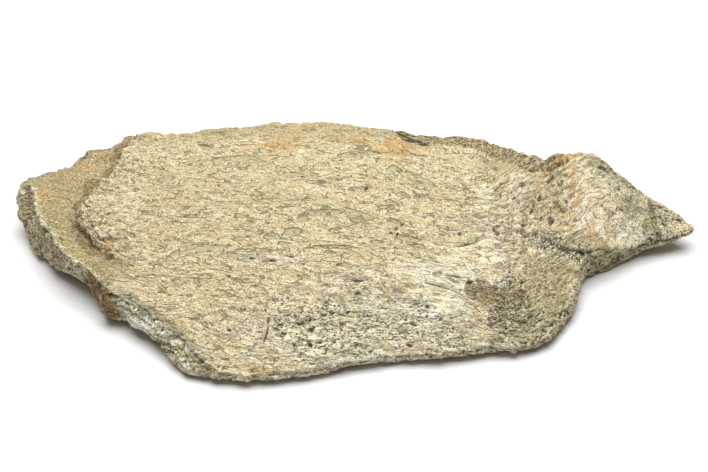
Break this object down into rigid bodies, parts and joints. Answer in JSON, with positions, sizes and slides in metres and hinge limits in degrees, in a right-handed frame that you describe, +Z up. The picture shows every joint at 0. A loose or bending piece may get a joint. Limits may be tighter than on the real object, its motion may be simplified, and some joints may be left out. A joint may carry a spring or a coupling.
{
  "type": "fossil triceratops frill section",
  "caption": "Broken flat slab of fossil frill bone with pitted fibrous faces, a stepped end, and a raised knob that tapers to a point at the other end.",
  "frame": {"origin": "under the middle of the bounding box, on the plane the slab lies on", "axes": "+X along the length, towards the pointed tip; +Y towards the thick back edge; +Z up, out of the upper bone face"},
  "size_m": [0.235, 0.1092, 0.0271],
  "materials": {
    "fossil_bone": null
  },
  "bodies": {
    "root": {"frill_section": "fossil_bone"}
  },
  "joints": []
}
